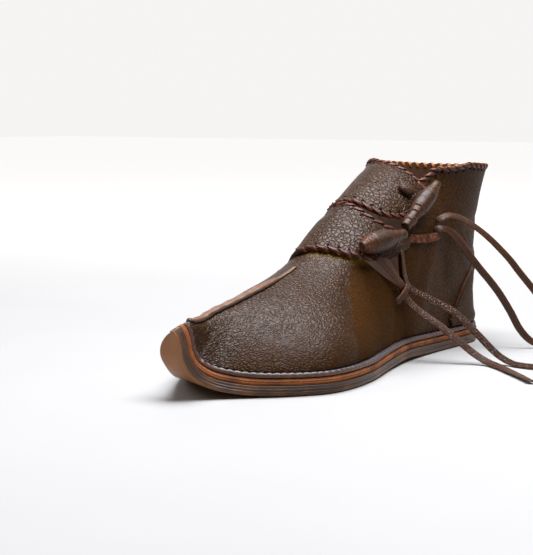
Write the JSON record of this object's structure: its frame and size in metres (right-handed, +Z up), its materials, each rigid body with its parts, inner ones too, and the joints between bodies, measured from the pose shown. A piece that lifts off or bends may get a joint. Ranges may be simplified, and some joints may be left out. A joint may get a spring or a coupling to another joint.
{
  "type": "medieval ankle boot",
  "caption": "Left leather ankle boot with a turned-up toe, layered stitched sole and flaps that close over rolled leather toggles with thongs.",
  "frame": {"origin": "middle of the standing boot's footprint box, without its thongs, on the plane the sole stands on", "axes": "+X along the boot from toe to heel, +Y from the outer side with the toggles to the inner side, +Z up"},
  "size_m": [0.3057, 0.1787, 0.122],
  "materials": {
    "grained_leather": "pebbled grain, worn, slightly waxed",
    "welt_leather": "dark, crimped by stitches",
    "raw_edge_leather": "raw cut edge",
    "sole_leather": "layered, burnished edge",
    "insole_leather": "matt flesh side",
    "thong_leather": "waxed, with raw edges"
  },
  "bodies": {
    "root": {"upper": "grained_leather", "heel_counter": "grained_leather", "vamp_seam": "grained_leather", "welt": "welt_leather", "midsole": "raw_edge_leather", "outsole": "sole_leather", "insole": "insole_leather", "toggle_upper": "thong_leather", "toggle_lower": "thong_leather", "thong_strand_front": "thong_leather", "thong_strand_rear": "thong_leather", "thong_tail_lower_rear": "thong_leather", "thong_tail_lower_front": "thong_leather", "thong_tail_upper_rear": "thong_leather", "thong_tail_upper_front": "thong_leather", "thong_bridge": "thong_leather", "flap_tongue": "thong_leather", "folded_tab": "thong_leather"}
  },
  "joints": []
}
